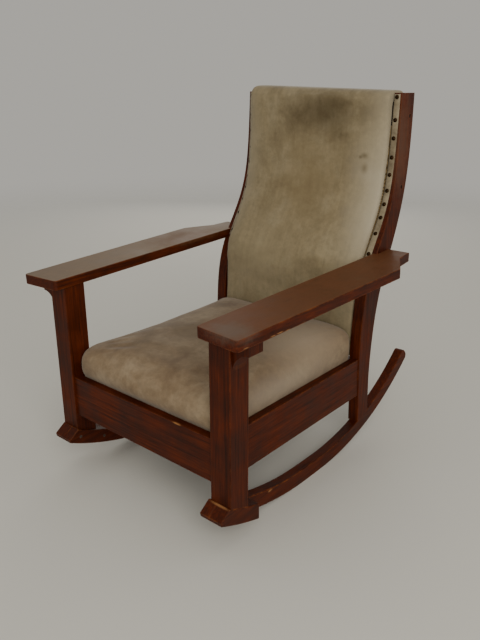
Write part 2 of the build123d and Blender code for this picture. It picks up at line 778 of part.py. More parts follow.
def seat_levels(inset):
    """Level outlines up the crowned seat, drawn in by an even skin."""
    levels = []
    low, high = seat_outline[0][0], seat_outline[-1][0]
    for z, half, front, rear, corner, rear_corner in seat_outline:
        sink = inset * (z - low) / (high - low)
        with BuildSketch(Plane.XY.offset(z - sink)) as outline:
            with Locations((0, back((front + rear) / 2))):
                Rectangle(2 * (half - inset), rear - front - 2 * inset)
            fillet(outline.vertices().sort_by(Axis.Y)[:2], corner - inset)
            fillet(outline.vertices().sort_by(Axis.Y)[-2:], rear_corner - inset)
        levels.append(outline.sketch.face())
    return levels


with BuildPart() as seat_core:
    loft(seat_levels(hide), ruled=True)
with BuildPart() as seat_stuffing:
    loft(seat_levels(hide + skin_gap), ruled=True)
    split(bisect_by=Plane.XY.offset(frame_z[1]), keep=Keep.TOP)
    block((-well_half, well_half), side_span, (seat_rest, burlap_z[1] + stuffing_gap), mode=Mode.SUBTRACT)
save(seat_stuffing, "seat_stuffing")

# Seat leather: a drawn skin and a skirt that turns down over the frame
with BuildPart() as seat_cover:
    loft(seat_levels(0.0), ruled=True)
    cut_by(seat_core)
    with BuildSketch(Plane.XY.offset(seat_rest + skirt_low)):
        with Locations((0, back((frame_front + frame_rear) / 2))):
            Rectangle(2 * (frame_half + skirt_wide), frame_rear - frame_front + 2 * skirt_wide)
            Rectangle(2 * frame_half, frame_rear - frame_front, mode=Mode.SUBTRACT)
    extrude(amount=skirt_tall)
save(seat_cover, "seat_cover")

# Webbing of the back: level straps between the posts, bent to the sawn curve
with BuildPart() as back_webbing:
    for z in back_strap_heights:
        low, high = z - strap_wide / 2, z + strap_wide / 2
        strap = curved_sheet(Plane.YZ, front_edge, low, high, -strap_thick, 0.0, hollow)
        extrude(strap, amount=rear_in - strap_clear, both=True)
save(back_webbing, "back_webbing")

# Burlap over the webbing, bent to the same curve
burlap_rear = -strap_thick - back_burlap_gap
with BuildPart() as back_burlap:
    low, high = bottom_rail["high"] - back_burlap_lap[0], top_rail["low"] - back_burlap_lap[1]
    sheet = curved_sheet(Plane.YZ, front_edge, low, high, burlap_rear - burlap_thick, burlap_rear, hollow)
    extrude(sheet, amount=pad_half - burlap_margin, both=True)
save(back_burlap, "back_burlap")


def pad_front(z):
    """Distance of the stuffed back's front edge, which swells out above the seat."""
    swell = pad_swelled(z)
    return post_edge(front_edge, z) + pad_sunk - (pad_swell + pad_sunk) * swell, swell


def pad_level(z, half, front, rear, corner, crown):
    """One level outline of the stuffed back: crowned front, round corners, flat rear."""
    turn = corner * (1 - math.sqrt(0.5))
    with BuildSketch(Plane.XY.offset(z)) as outline:
        with BuildLine():
            crest = (0, back(front - crown))
            ThreePointArc((corner - half, back(front)), crest, (half - corner, back(front)))
            ThreePointArc((half - corner, back(front)), (half - turn, back(front + turn)),
                          (half, back(front + corner)))
            Polyline((half, back(front + corner)), (half, back(rear)), (-half, back(rear)),
                     (-half, back(front + corner)))
            ThreePointArc((-half, back(front + corner)), (turn - half, back(front + turn)),
                          (corner - half, back(front)))
        make_face()
    return outline.sketch.face()


def back_levels(inset, rear_spare=0.0):
    """Levels up the stuffed back, drawn in by an even skin."""
    levels = []
    for z in pad_heights:
        front, swell = pad_front(z)
        rear = post_edge(front_edge, z) + hollow(z) + burlap_rear - burlap_thick - pad_rear_gap
        corner = pad_corner * (rear - front)
        crown = pad_crown * (pad_crown_least + (1 - pad_crown_least) * swell)
        levels.append(pad_level(z, pad_half - inset, front + inset, rear + rear_spare, corner, crown))
    return levels


def roll_levels(inset):
    """Levels of the roll that passes over the top rail."""
    levels = []
    for z, step in pad_roll:
        front = pad_front(pad_heights[-1])[0] + step + inset
        rear = top_rail["front"] + top_rail["deep"] - roll_rear_share * step - inset
        corner = roll_corner * (rear - front)
        half = pad_half - roll_side_share * step - inset
        levels.append(pad_level(z - inset, half, front, rear, corner, pad_crown))
    return levels


with BuildPart() as back_core:
    loft(back_levels(hide, rear_spare=pad_rear_gap))
    loft(roll_levels(hide))
with BuildPart() as back_cover:
    loft(back_levels(0.0))
    loft(roll_levels(0.0))
    cut_by(back_core)
save(back_cover, "back_cover")
with BuildPart() as back_stuffing:
    loft(back_levels(hide + skin_gap))
    loft(roll_levels(hide + skin_gap))
save(back_stuffing, "back_stuffing")
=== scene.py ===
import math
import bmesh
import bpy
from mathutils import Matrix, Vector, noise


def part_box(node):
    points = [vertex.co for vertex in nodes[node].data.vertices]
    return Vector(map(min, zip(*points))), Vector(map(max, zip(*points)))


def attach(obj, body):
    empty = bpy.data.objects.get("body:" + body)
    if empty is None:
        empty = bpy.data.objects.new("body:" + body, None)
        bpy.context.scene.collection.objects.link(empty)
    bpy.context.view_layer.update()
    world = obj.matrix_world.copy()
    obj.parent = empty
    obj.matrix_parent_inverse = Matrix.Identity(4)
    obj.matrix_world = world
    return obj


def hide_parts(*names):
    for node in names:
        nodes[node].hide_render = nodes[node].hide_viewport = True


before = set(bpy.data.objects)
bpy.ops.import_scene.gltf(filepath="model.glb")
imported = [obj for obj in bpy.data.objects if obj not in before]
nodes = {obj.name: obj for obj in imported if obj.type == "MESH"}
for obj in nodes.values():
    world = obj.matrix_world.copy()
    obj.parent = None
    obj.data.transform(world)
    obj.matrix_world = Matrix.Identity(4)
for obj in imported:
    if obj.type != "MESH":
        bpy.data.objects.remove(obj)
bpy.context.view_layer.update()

# %% [markdown]
# A rocking chair with a stained oak frame, a sprung lift-out seat and a tall stuffed back.
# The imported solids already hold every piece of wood, every screw and every nail in place.
# This lesson gives them their finishes, and makes the soft pieces again as leather over stuffing.
# The sitter faces -Y and Z is up. Lengths are in metres, so a millimetre is 0.001.

MM = 0.001
front_y = -418.5

# %% [markdown]
# The camera comes first, because every later choice is judged through it.
# Its place was found by fitting the straight edges of the frame: off the chair's front corner,
# a little under one metre up, looking twenty degrees down.
# The lens is given for an upright picture of 480 by 640, so the sensor is fitted to the height.

# %% Camera
lens_data = bpy.data.cameras.new("standing_view")
lens_data.sensor_fit = "VERTICAL"
lens_data.sensor_height = 36.0
lens_data.lens = 36.553
camera = bpy.data.objects.new("standing_view", lens_data)
camera.location = (1.07849, (front_y - 886.12) * MM, 0.98245)
camera.rotation_euler = (math.radians(69.9787), 0.0, math.radians(40.3266))
bpy.context.collection.objects.link(camera)
bpy.context.scene.camera = camera
print("camera at", [round(v, 3) for v in camera.location])

# %% [markdown]
# A shader is a small graph, and writing it by hand repeats the same three lines for every box.
# One helper adds a box with its settings, its fixed socket values and its incoming links.
# Colours are written as the hex codes a paint shop would read, and one function makes them linear,
# because Blender's light is added up in linear values.

# %% Colour and node helpers
def linear(code):
    """Linear colour of a hex code."""
    parts = [int(code[i:i + 2], 16) / 255 for i in (1, 3, 5)]
    return [c / 12.92 if c <= 0.04045 else ((c + 0.055) / 1.055) ** 2.4 for c in parts] + [1.0]


def add_node(tree, kind, sockets=None, links=None, stops=None, **settings):
    """Adds one node; stops are (place, hex code or grey) for a colour ramp."""
    made = tree.nodes.new("ShaderNode" + kind)
    for name, value in settings.items():
        setattr(made, name, value)
    for name, value in (sockets or {}).items():
        made.inputs[name].default_value = value
    for name, source in (links or {}).items():
        tree.links.new(source, made.inputs[name])
    for i, (spot, shade) in enumerate(stops or []):
        ramp = made.color_ramp
        step = ramp.elements[i] if i < 2 else ramp.elements.new(spot)
        step.position = spot
        step.color = linear(shade) if isinstance(shade, str) else (shade, shade, shade, 1.0)
    return made


def new_finish(name, sockets):
    """A material with the shader's own sockets set."""
    finish = bpy.data.materials.new(name)
    finish.use_nodes = True
    tree = finish.node_tree
    shader = tree.nodes["Principled BSDF"]
    for socket, value in sockets.items():
        shader.inputs[socket].default_value = value
    return finish, tree, shader


def dress(finish, *names):
    """Puts a finish on CAD nodes."""
    for name in names:
        slots = nodes[name].data.materials
        slots.clear()
        slots.append(finish)


# %% [markdown]
# Use leaves marks in particular places: a greasy patch, a chip, a nail hole. The same ellipsoids also paint a
# grey reflection at the front of the near arm.
# Each is an ellipsoid in the chair's own space. The distance from its centre, measured in its own radii,
# fades it out, and a little noise makes its edge ragged. It works on any surface that passes through it.

# %% Marks of use and a painted reflection
def mark(tree, place, ragged_by, colour, marks, fade_out=1.45, full=0.65):
    """Lays marks over a colour; each is (centre mm, radii mm, hex colour, strength)."""
    for centre, radii, shade, strength in marks:
        scale = [1 / (r * MM) for r in radii]
        shift = [-c * MM * s for c, s in zip((centre[0], front_y + centre[1], centre[2]), scale)]
        local = add_node(tree, "Mapping", {"Scale": scale, "Location": shift}, {"Vector": place})
        far = add_node(tree, "VectorMath", links={0: local.outputs[0]}, operation="LENGTH")
        ragged = add_node(tree, "Math", {1: 0.9}, {0: ragged_by, 2: far.outputs["Value"]},
                          operation="MULTIPLY_ADD")
        fade = add_node(tree, "MapRange", {1: fade_out, 2: full, 3: 0.0, 4: strength}, {0: ragged.outputs[0]},
                        interpolation_type="SMOOTHSTEP")
        colour = add_node(tree, "Mix", {7: linear(shade)}, {0: fade.outputs[0], 6: colour},
                          data_type="RGBA").outputs[2]
    return colour


# %% [markdown]
# Upper faces may take a colour of their own: hand wear on the near arm, a painted reflection on the far arm.
# The frame is oak, sawn and planed, stained dark red-brown and given a thin shellac that has worn.
# The eye gets three things from that: long soft streaks along the board, short dark pores, and
# paler orange wood on the edges where the stain has been rubbed away.
# Growth bands are some 5 mm wide and run for 150 mm or more. Pores are a tenth of a millimetre,
# too fine to show, so they are drawn 1.6 mm wide.
# The bevel node compares a softened normal with the true one, which finds the edges to wear.

# %% Stained oak
BAND, BAND_RUN = 5 * MM, 150 * MM
PORE, PORE_RUN = 1.6 * MM, 38 * MM
BLOTCH = 85 * MM
KNOCK = 22 * MM
EDGE = 4 * MM


def stained_oak(name, along, deep="#2d0f02", mid="#4b1a04", pale="#5c2406", rubbed="#9a5726", rub=0.5,
                top=None, marks=()):
    """Oak with its grain along x, y or z; top is a colour for upper faces: hand wear on the near arm, a
    painted reflection on the far arm.
    """
    finish, tree, shader = new_finish(name, {"IOR": 1.5, "Specular IOR Level": 0.16})
    place = add_node(tree, "TexCoord").outputs["Object"]
    shape = add_node(tree, "NewGeometry")
    axis = "xyz".index(along)

    def stretched(width, run):
        scale = [1 / width] * 3
        scale[axis] = 1 / run
        return add_node(tree, "Mapping", {"Scale": scale}, {"Vector": place}).outputs[0]

    bands = add_node(tree, "TexNoise", {"Scale": 1.0, "Detail": 4.0, "Roughness": 0.62, "Distortion": 0.5},
                     {"Vector": stretched(BAND, BAND_RUN)})
    wood = add_node(tree, "ValToRGB", links={0: bands.outputs[0]},
                    stops=[(0.28, deep), (0.72, pale), (0.5, mid)])
    pores = add_node(tree, "TexNoise", {"Scale": 1.0, "Detail": 2.0}, {"Vector": stretched(PORE, PORE_RUN)})
    pore_dark = add_node(tree, "ValToRGB", links={0: pores.outputs[0]}, stops=[(0.34, 0.55), (0.47, 1.0)])
    pored = add_node(tree, "Mix", {0: 0.55}, {6: wood.outputs[0], 7: pore_dark.outputs[0]},
                     data_type="RGBA", blend_type="MULTIPLY")
    blotch = add_node(tree, "TexNoise", {"Scale": 1 / BLOTCH, "Detail": 3.0, "Roughness": 0.6},
                      {"Vector": place})
    blotch_dark = add_node(tree, "ValToRGB", links={0: blotch.outputs[0]}, stops=[(0.36, 0.62), (0.64, 1.12)])
    stained = add_node(tree, "Mix", {0: 1.0}, {6: pored.outputs[2], 7: blotch_dark.outputs[0]},
                       data_type="RGBA", blend_type="MULTIPLY")
    colour = stained.outputs[2]
    # Upper faces take the top colour in patches: hand wear on the near arm, a painted reflection on the far
    # arm.
    if top:
        up = add_node(tree, "SeparateXYZ", links={0: shape.outputs["True Normal"]})
        up_wear_and_reflection = add_node(tree, "Math", {1: 0.85}, {0: up.outputs[2]}, operation="GREATER_THAN")
        patch = add_node(tree, "ValToRGB", links={0: blotch.outputs[0]}, stops=[(0.25, 0.6), (0.7, 0.85)])
        share = add_node(tree, "Math", links={0: up_wear_and_reflection.outputs[0], 1: patch.outputs[0]}, operation="MULTIPLY")
        topped = add_node(tree, "Mix", {7: linear(top)}, {0: share.outputs[0], 6: colour}, data_type="RGBA")
        grained = add_node(tree, "Mix", {0: 0.35}, {6: topped.outputs[2], 7: pore_dark.outputs[0]},
                           data_type="RGBA", blend_type="MULTIPLY")
        colour = grained.outputs[2]
    soft = add_node(tree, "Bevel", {"Radius": EDGE}, samples=4)
    agree = add_node(tree, "VectorMath", links={0: soft.outputs[0], 1: shape.outputs["True Normal"]},
                     operation="DOT_PRODUCT")
    edge = add_node(tree, "MapRange", {1: 0.995, 2: 0.86, 3: 0.0, 4: 1.0}, {0: agree.outputs["Value"]})
    knocks = add_node(tree, "TexNoise", {"Scale": 1 / KNOCK, "Detail": 4.0, "Roughness": 0.7},
                      {"Vector": place})
    knock = add_node(tree, "MapRange", {1: 0.42, 2: 0.66, 3: 0.0, 4: rub}, {0: knocks.outputs[0]})
    share = add_node(tree, "Math", links={0: edge.outputs[0], 1: knock.outputs[0]}, operation="MULTIPLY")
    worn_edge = add_node(tree, "Mix", {7: linear(rubbed)}, {0: share.outputs[0], 6: colour}, data_type="RGBA")
    colour = mark(tree, place, knocks.outputs[0], worn_edge.outputs[2], marks)
    tree.links.new(colour, shader.inputs["Base Color"])
    gloss = add_node(tree, "MapRange", {1: 0.3, 2: 0.7, 3: 0.42, 4: 0.62}, {0: blotch.outputs[0]})
    tree.links.new(gloss.outputs[0], shader.inputs["Roughness"])
    relief = add_node(tree, "Bump", {"Strength": 0.18, "Distance": 0.4 * MM}, {"Height": pores.outputs[0]})
    tree.links.new(relief.outputs[0], shader.inputs["Normal"])
    return finish


oak_up = stained_oak("stained_oak_upright", "z", marks=[((258, 742, 830), (22, 70, 190), "#75503a", 0.4)])
oak_bracket = stained_oak("stained_oak_bracket", "z", rub=0.1)
oak_plug = stained_oak("stained_oak_plug", "x", "#120502", "#1b0803", "#260d04", rub=0.0)
oak_across = stained_oak("stained_oak_across", "x", marks=[((133, 6, 264), (17, 5, 3), "#a67444", 0.8)])
oak_deep = stained_oak(
    "stained_oak_front_to_back", "y", rub=0.7,
    marks=[((263, 188, 49), (6, 12, 4), "#a4744a", 0.8), ((263, 454, 55), (6, 5, 5), "#080302", 1.0),
           ((263, -18, 100), (6, 18, 16), "#481a05", 0.9), ((270, -3, 115), (36, 6, 3), "#96683e", 0.75)])
ARM_EDGE = 356
NICKS = ((112, 514, 12), (88, 515, 16), (66, 514, 12), (164, 517, 18), (278, 522, 14), (-14, 512, 14))
nicks = [((ARM_EDGE, y, z), (6, long, 2), "#a5764a", 0.75) for y, z, long in NICKS]
# The near arm has rubbed edges and pale nicks from wear. The grey patch at its front end is a painted
# reflection of the light.
oak_arm = stained_oak("stained_oak_near_arm_worn_painted_reflection", "y", rub=0.9, top="#69442a",
                      marks=[((310, -5, 536), (75, 55, 30), "#62554a", 0.65)] + nicks)
# The far arm's grey top is a painted reflection where light glances off it. Towards the rear, a brown patch
# turns it back to the wood's colour.
oak_far_arm_painted_reflection = stained_oak("stained_oak_far_arm_worn_painted_reflection", "y", rub=0.9, top="#897a68",
                           marks=[((-300, 470, 548), (110, 190, 16), "#65452d", 0.65)])
dress(oak_up, "front_post_left", "front_post_right", "rear_post_left", "rear_post_right")
dress(oak_bracket, "corbel_left", "corbel_right")
dress(oak_plug, "post_plugs")
dress(oak_across, "front_rail", "rear_rail")
dress(oak_deep, "side_rail_left", "side_rail_right", "rocker_left", "rocker_right",
      "rocker_cheek_left", "rocker_cheek_right")
dress(oak_arm, "arm_left")
dress(oak_far_arm_painted_reflection, "arm_right")
print("oak finishes", 7)

# %% [markdown]
# Inside, where nobody looks, the maker used plain sawn hardwood and birch pegs with no stain.
# The same grain idea serves, with paler colours and a dry, rough surface.

# %% Unstained inner wood
def sawn_wood(name, along, dark, light):
    """Dry sawn timber with straight grain."""
    finish, tree, shader = new_finish(name, {"IOR": 1.5, "Roughness": 0.8})
    place = add_node(tree, "TexCoord").outputs["Object"]
    scale = [1 / (3 * MM)] * 3
    scale["xyz".index(along)] = 1 / (120 * MM)
    space = add_node(tree, "Mapping", {"Scale": scale}, {"Vector": place})
    grain = add_node(tree, "TexNoise", {"Scale": 1.0, "Detail": 4.0}, {"Vector": space.outputs[0]})
    tone = add_node(tree, "ValToRGB", links={0: grain.outputs[0]}, stops=[(0.3, dark), (0.7, light)])
    tree.links.new(tone.outputs[0], shader.inputs["Base Color"])
    relief = add_node(tree, "Bump", {"Strength": 0.3, "Distance": 0.5 * MM}, {"Height": grain.outputs[0]})
    tree.links.new(relief.outputs[0], shader.inputs["Normal"])
    return finish


sawn_across = sawn_wood("sawn_hardwood_across", "x", "#6b4a2c", "#9b7648")
sawn_deep = sawn_wood("sawn_hardwood_front_to_back", "y", "#6b4a2c", "#9b7648")
birch = sawn_wood("turned_birch_peg", "z", "#a3834f", "#cdb184")
dress(sawn_across, "seat_frame_front", "seat_frame_rear", "seat_cleat_front", "seat_cleat_rear",
      "back_top_rail", "back_middle_rail", "back_bottom_rail", "corner_blocks_front", "corner_blocks_rear")
dress(sawn_deep, "seat_frame_left", "seat_frame_right", "seat_cleat_left", "seat_cleat_right")
dress(birch, "arm_dowels", "corbel_dowels", "rocker_dowels")
print("inner wood finishes", 3)

# %% [markdown]
# The metal is old: domed nail heads of bronzed brass, rubbed bright only on their crowns,
# plain steel screws gone dull, blued tacks and spring wire.
# All are metallic with a broken roughness, because age leaves no even shine.

# %% Old metals
def old_metal(name, dark, light, rough, grit):
    """Dulled metal, its tone and shine broken up at the size of its tarnish."""
    finish, tree, shader = new_finish(name, {"Metallic": 1.0})
    place = add_node(tree, "TexCoord").outputs["Object"]
    tarnish = add_node(tree, "TexNoise", {"Scale": 1 / grit, "Detail": 4.0, "Roughness": 0.65},
                       {"Vector": place})
    tone = add_node(tree, "ValToRGB", links={0: tarnish.outputs[0]}, stops=[(0.35, dark), (0.68, light)])
    tree.links.new(tone.outputs[0], shader.inputs["Base Color"])
    dull = add_node(tree, "MapRange", {1: 0.3, 2: 0.7, 3: rough, 4: rough + 0.25}, {0: tarnish.outputs[0]})
    tree.links.new(dull.outputs[0], shader.inputs["Roughness"])
    return finish


nail_bronze = old_metal("bronzed_brass_nail_head", "#1c130c", "#4a3520", 0.38, 4 * MM)
dull_steel = old_metal("dulled_steel_screw", "#3a3632", "#77706a", 0.45, 3 * MM)
blued_steel = old_metal("blued_steel_tack", "#14161c", "#2e333d", 0.35, 3 * MM)
spring_wire = old_metal("dulled_spring_wire", "#4b4036", "#8a7a66", 0.4, 6 * MM)
dress(nail_bronze, "border_nails_left", "border_nails_right", "outside_nails")
dress(dull_steel, "arm_screws", "back_rail_screws", "cheek_screws", "cleat_screws", "corner_block_screws")
dress(blued_steel, "webbing_tacks")
dress(spring_wire, "seat_springs")
print("metal finishes", 4)

# %% [markdown]
# Under the leather lie jute webbing, burlap and fibre stuffing, and a black cloth closes the seat below.
# Two crossed waves make a plain weave: one counts the warp and one the weft.
# Jute threads are about 2.5 mm apart and burlap's about 2 mm; cambric is far finer and is drawn at 1.5 mm.

# %% Hidden cloths
def plain_weave(name, dark, light, thread, rough=0.95):
    """Two sets of threads, one across the other."""
    finish, tree, shader = new_finish(name, {"Roughness": rough, "IOR": 1.45, "Sheen Weight": 0.15})
    place = add_node(tree, "TexCoord").outputs["Object"]
    split = add_node(tree, "SeparateXYZ", links={0: place})
    threads = []
    for output in (0, 1):
        turn = add_node(tree, "Math", {1: math.pi / thread}, {0: split.outputs[output]}, operation="MULTIPLY")
        wave = add_node(tree, "Math", links={0: turn.outputs[0]}, operation="SINE")
        threads.append(add_node(tree, "Math", links={0: wave.outputs[0]}, operation="ABSOLUTE"))
    cloth = add_node(tree, "Math", links={0: threads[0].outputs[0], 1: threads[1].outputs[0]},
                     operation="MULTIPLY")
    slub = add_node(tree, "TexNoise", {"Scale": 1 / (9 * MM), "Detail": 3.0}, {"Vector": place})
    mixed = add_node(tree, "Math", links={0: cloth.outputs[0], 1: slub.outputs[0]}, operation="MULTIPLY")
    tone = add_node(tree, "ValToRGB", links={0: mixed.outputs[0]}, stops=[(0.05, dark), (0.5, light)])
    tree.links.new(tone.outputs[0], shader.inputs["Base Color"])
    relief = add_node(tree, "Bump", {"Strength": 0.4, "Distance": 0.4 * MM}, {"Height": cloth.outputs[0]})
    tree.links.new(relief.outputs[0], shader.inputs["Normal"])
    return finish


jute = plain_weave("woven_jute_webbing", "#4f3c22", "#9c8152", 2.5 * MM)
burlap = plain_weave("open_burlap", "#5c4a2b", "#a88f60", 2 * MM)
cambric = plain_weave("black_cambric", "#0b0a0a", "#2a2724", 1.5 * MM)
fibre = plain_weave("combed_fibre_stuffing", "#6b5a40", "#a1906f", 6 * MM)
dress(jute, "seat_webbing", "back_webbing")
dress(burlap, "seat_burlap", "back_burlap")
dress(fibre, "seat_stuffing", "back_stuffing")
print("hidden cloths", 4)

# %% [markdown]
# The covering is sueded hide, leather with its flesh side out, so it scatters light like velvet.
# Long use has left it uneven: soft brown clouds a hand wide, finer spots, streaks down
# the back, a dark greasy patch where heads lay, and paler hide where nobody rubs.
# Nap is under half a millimetre, so it is drawn at 1.4 mm to show at all.

# %% Sueded hide
NAP = 1.4 * MM
CLOUD = 90 * MM
SPOT = 16 * MM
STREAK = (14 * MM, 60 * MM, 140 * MM)


def sueded_hide(name, dark, mid, pale, marks=(), streak=0.0, cloud=CLOUD):
    """Suede with clouds and spots, and its marks of use."""
    finish, tree, shader = new_finish(name, {"Roughness": 0.92, "IOR": 1.45, "Sheen Weight": 0.22,
                                             "Sheen Roughness": 0.45, "Specular IOR Level": 0.25})
    place = add_node(tree, "TexCoord").outputs["Object"]
    clouds = add_node(tree, "TexNoise",
                      {"Scale": 1 / cloud, "Detail": 5.0, "Roughness": 0.62, "Distortion": 0.3},
                      {"Vector": place})
    tone = add_node(tree, "ValToRGB", links={0: clouds.outputs[0]},
                    stops=[(0.3, dark), (0.7, pale), (0.5, mid)])
    spots = add_node(tree, "TexNoise", {"Scale": 1 / SPOT, "Detail": 4.0, "Roughness": 0.7},
                     {"Vector": place})
    speckle = add_node(tree, "ValToRGB", links={0: spots.outputs[0]}, stops=[(0.3, 0.8), (0.62, 1.06)])
    colour = add_node(tree, "Mix", {0: 0.8}, {6: tone.outputs[0], 7: speckle.outputs[0]},
                      data_type="RGBA", blend_type="MULTIPLY").outputs[2]
    if streak:
        run = add_node(tree, "Mapping", {"Scale": [1 / length for length in STREAK]}, {"Vector": place})
        streaks = add_node(tree, "TexNoise", {"Scale": 1.0, "Detail": 3.0}, {"Vector": run.outputs[0]})
        drawn = add_node(tree, "ValToRGB", links={0: streaks.outputs[0]}, stops=[(0.35, 0.86), (0.65, 1.06)])
        colour = add_node(tree, "Mix", {0: streak}, {6: colour, 7: drawn.outputs[0]},
                          data_type="RGBA", blend_type="MULTIPLY").outputs[2]
    colour = mark(tree, place, clouds.outputs[0], colour, marks, fade_out=1.75, full=0.3)
    tree.links.new(colour, shader.inputs["Base Color"])
    nap = add_node(tree, "TexNoise", {"Scale": 1 / NAP, "Detail": 2.0}, {"Vector": place})
    relief = add_node(tree, "Bump", {"Strength": 0.12, "Distance": 0.4 * MM}, {"Height": nap.outputs[0]})
    tree.links.new(relief.outputs[0], shader.inputs["Normal"])
    return finish


back_hide = sueded_hide(
    "sueded_hide_back", "#7a6d53", "#8b7e62", "#978b70", streak=0.6,
    marks=[((0, 680, 720), (140, 160, 190), "#7d6c4c", 0.5),
           ((250, 690, 680), (110, 220, 360), "#b5ad99", 0.9),
           ((-245, 690, 760), (70, 220, 300), "#a0967f", 0.6),
           ((48, 705, 910), (165, 130, 82), "#443720", 0.85),
           ((-100, 600, 480), (150, 110, 150), "#988c70", 0.5),
           ((178, 693, 800), (13, 40, 10), "#52462f", 0.65), ((181, 690, 768), (10, 40, 15), "#5c5038", 0.55),
           ((166, 693, 796), (6, 40, 6), "#463a26", 0.6)])
seat_hide = sueded_hide(
    "sueded_hide_seat", "#6d5944", "#826f57", "#97866e",
    marks=[((240, 250, 300), (40, 280, 50), "#a4998a", 0.5),
           ((190, 420, 355), (100, 170, 60), "#b2a18b", 0.75),
           ((-40, 240, 362), (180, 200, 60), "#5c4b34", 0.65),
           ((238, 372, 334), (9, 9, 7), "#d6cab4", 0.95),
           ((225, 182, 350), (14, 16, 10), "#4c3d2b", 0.7)])
strip_hide = sueded_hide("sueded_hide_border", "#6f6350", "#8d826c", "#a1967f", cloud=40 * MM)
outside_hide = sueded_hide("sueded_hide_outside", "#65563f", "#7d6e54", "#8f8268", streak=0.5)
print("hide finishes", 4)

# %% [markdown]
# Soft pieces start as a stack of level outlines joined ring to ring, a loft, then swell a little.
# The swelling is a cloth simulation: an even skin of small squares, air pressure inside, no gravity.
# Points near wood are held, and no point may move further than a cap, so the pad keeps its place.

# %% Loft and stuffing helpers
def rounded_ring(half, front, rear, corner, rear_corner, z, count=12):
    """Level rounded rectangle, distances in mm with y behind the front posts."""
    centres = [(half - rear_corner, rear - rear_corner, 0, rear_corner),
               (rear_corner - half, rear - rear_corner, 90, rear_corner),
               (corner - half, front + corner, 180, corner), (half - corner, front + corner, 270, corner)]
    ring = []
    for cx, cy, start, radius in centres:
        for i in range(count + 1):
            turn = math.radians(start + 90 * i / count)
            ring.append(((cx + radius * math.cos(turn)) * MM,
                         (front_y + cy + radius * math.sin(turn)) * MM, z * MM))
    return ring


def loft_piece(name, rings):
    """Closed mesh through rings that have the same number of points."""
    shape = bmesh.new()
    rows = [[shape.verts.new(p) for p in ring] for ring in rings]
    count = len(rows[0])
    for low, high in zip(rows, rows[1:]):
        for i in range(count):
            j = (i + 1) % count
            shape.faces.new((low[i], low[j], high[j], high[i]))
    shape.faces.new(list(reversed(rows[0])))
    shape.faces.new(rows[-1])
    mesh = bpy.data.meshes.new(name)
    shape.to_mesh(mesh)
    shape.free()
    piece = bpy.data.objects.new(name, mesh)
    bpy.context.collection.objects.link(piece)
    return piece


def settle(piece):
    """Applies the piece's modifiers to its mesh."""
    graph = bpy.context.evaluated_depsgraph_get()
    mesh = bpy.data.meshes.new_from_object(piece.evaluated_get(graph))
    piece.modifiers.clear()
    piece.data = mesh


PRESSURE = 4.0
STEPS = 20


def stuff(piece, square, cap, held):
    """Even skin, then pressure from inside; held(point) is true where the skin is fixed."""
    skin = piece.modifiers.new("even_skin", "REMESH")
    skin.mode = "VOXEL"
    skin.voxel_size = square
    even = piece.modifiers.new("even_out", "SMOOTH")
    even.iterations = 6
    settle(piece)
    start = [v.co.copy() for v in piece.data.vertices]
    fixed = piece.vertex_groups.new(name="held")
    fixed.add([i for i, p in enumerate(start) if held(p)], 1.0, "REPLACE")
    cloth = piece.modifiers.new("stuffing", "CLOTH")
    cloth.settings.vertex_group_mass = "held"
    cloth.settings.use_pressure = True
    cloth.settings.uniform_pressure_force = PRESSURE
    cloth.settings.effector_weights.gravity = 0.0
    cloth.settings.quality = 5
    cloth.point_cache.frame_end = STEPS
    for step in range(1, STEPS + 1):
        bpy.context.scene.frame_set(step)
    settle(piece)
    bpy.context.scene.frame_set(1)
    for vertex, first in zip(piece.data.vertices, start):
        move = vertex.co - first
        if move.length > cap:
            vertex.co = first + move * (cap / move.length)
    calm = piece.modifiers.new("calm", "SMOOTH")
    calm.iterations = 5
    settle(piece)
    return piece


def smooth_shade(piece, finish, body):
    """Finish, smooth shading and a body to ride on."""
    piece.data.materials.clear()
    piece.data.materials.append(finish)
    for face in piece.data.polygons:
        face.use_smooth = True
    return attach(piece, body)


# %% [markdown]
# The seat is a frame with springs and fibre on it, covered in one hide that is drawn down and tacked
# underneath. Its top is crowned and its front edge falls away, its sides stand almost straight.
# The outline is that of the solid, a few millimetres smaller, because the stuffing swells it again.
# Low down the hide lies flat against the seat's wooden frame and turns in under it, so its skirt is
# drawn square again after the smoothing has rounded it.

# %% Seat
SEAT_RINGS = [
    (234.5, 237, 29.5, 576.5, 6, 6), (262, 237.5, 29.5, 576.5, 10, 10), (268, 238, 28, 577, 16, 14),
    (273, 240, 21, 577.5, 22, 16), (292, 241, 16.5, 578, 26, 17), (316, 240.5, 17, 578, 30, 17),
    (331, 237.5, 21.5, 577.6, 36, 17), (342, 230.5, 31.5, 576.3, 42, 19), (350.5, 218.5, 49.5, 573, 50, 23),
    (357, 193.5, 84.5, 564, 58, 30), (361.5, 145.5, 140, 530, 60, 40), (363.5, 80, 215, 455, 60, 50)]
CROWN_LOW, CROWN_RUN = 280, 60
SKIRT_TOP, SKIRT_TURN, SKIRT_LOW = 260, 238.5, 231.2
SKIRT_HALF, SKIRT_FRONT, SKIRT_REAR, SKIRT_EASE = 237.8, 29.2, 576.8, 7.3
SEAT_FOLDS = ((0.085, 1.6), (0.035, 0.5))
SLUMP, SLUMP_MID, SLUMP_RUN = 7.0, 300, 260
SLUMP_FROM, SLUMP_EASE = 100, 120


def rumple(point, folds):
    """Uneven stuffing in mm: folds are (length in m, height in mm)."""
    return sum(noise.noise(point / run) * height for run, height in folds)


def seat_held(point):
    """The skin is fixed inside the rails, at the back, and beside the front posts."""
    behind = point.y / MM - front_y
    return point.z < 268 * MM or behind > 560 or (behind < 80 and abs(point.x) > 222 * MM)


